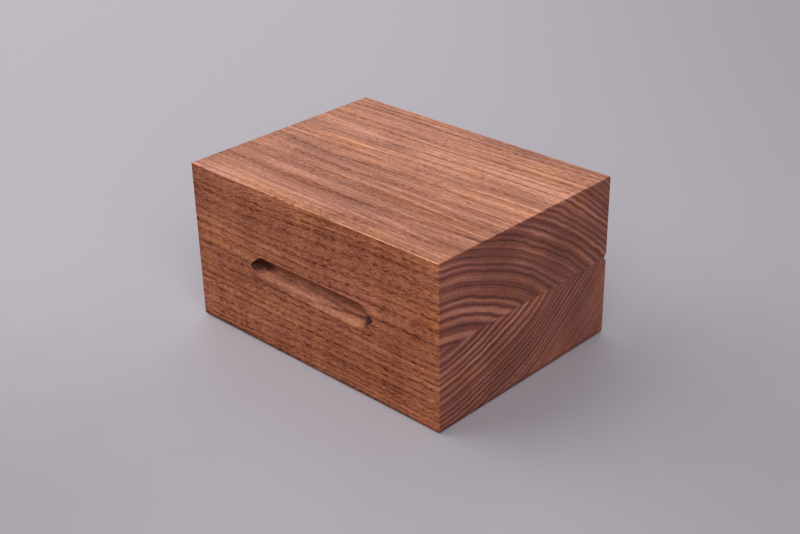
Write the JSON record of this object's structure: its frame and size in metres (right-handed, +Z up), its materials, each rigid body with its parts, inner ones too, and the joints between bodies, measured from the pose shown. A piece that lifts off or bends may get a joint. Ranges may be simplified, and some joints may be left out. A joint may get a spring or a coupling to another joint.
{
  "type": "wooden puzzle box",
  "caption": "Hinged hardwood box in two hollowed halves, with a V finger groove in front, concealed brass hinges at the back and a hidden sliding-pin lock.",
  "frame": {"origin": "centre of the underside, on the surface that the box stands on", "axes": "+X to the right along the front, +Y from the front to the hinged back, +Z up"},
  "size_m": [0.15, 0.111, 0.078],
  "materials": {
    "base_wood": "oiled walnut, satin",
    "lid_wood": "oiled walnut, satin",
    "lock_wood": "bare maple",
    "brass": "brushed brass",
    "pin_steel": "turned steel"
  },
  "bodies": {
    "base": {"base_block": "base_wood", "left_lock_block": "lock_wood", "left_bore_plug": "lock_wood", "left_hinge_base_leaf": "brass", "left_hinge_pin": "brass", "right_lock_block": "lock_wood", "right_bore_plug": "lock_wood", "right_hinge_base_leaf": "brass", "right_hinge_pin": "brass"},
    "lid": {"lid_block": "lid_wood", "left_hinge_lid_leaf": "brass", "left_striker_insert": "brass", "left_striker_stud": "brass", "left_striker_nut": "brass", "right_hinge_lid_leaf": "brass", "right_striker_insert": "brass", "right_striker_stud": "brass", "right_striker_nut": "brass"},
    "left_pin": {"left_lock_pin": "pin_steel"},
    "right_pin": {"right_lock_pin": "pin_steel"}
  },
  "joints": [
    {"name": "lid_hinge", "type": "hinge", "parent": "base", "child": "lid", "pos_m": [0, 0.0535, 0.039], "axis": [-1, 0, 0], "range_deg": [0, 89]},
    {"name": "left_pin_slide", "type": "slide", "parent": "base", "child": "left_pin", "axis": [1, 0, 0], "range_m": [0, 0.003]},
    {"name": "right_pin_slide", "type": "slide", "parent": "base", "child": "right_pin", "axis": [-1, 0, 0], "range_m": [0, 0.003]}
  ]
}
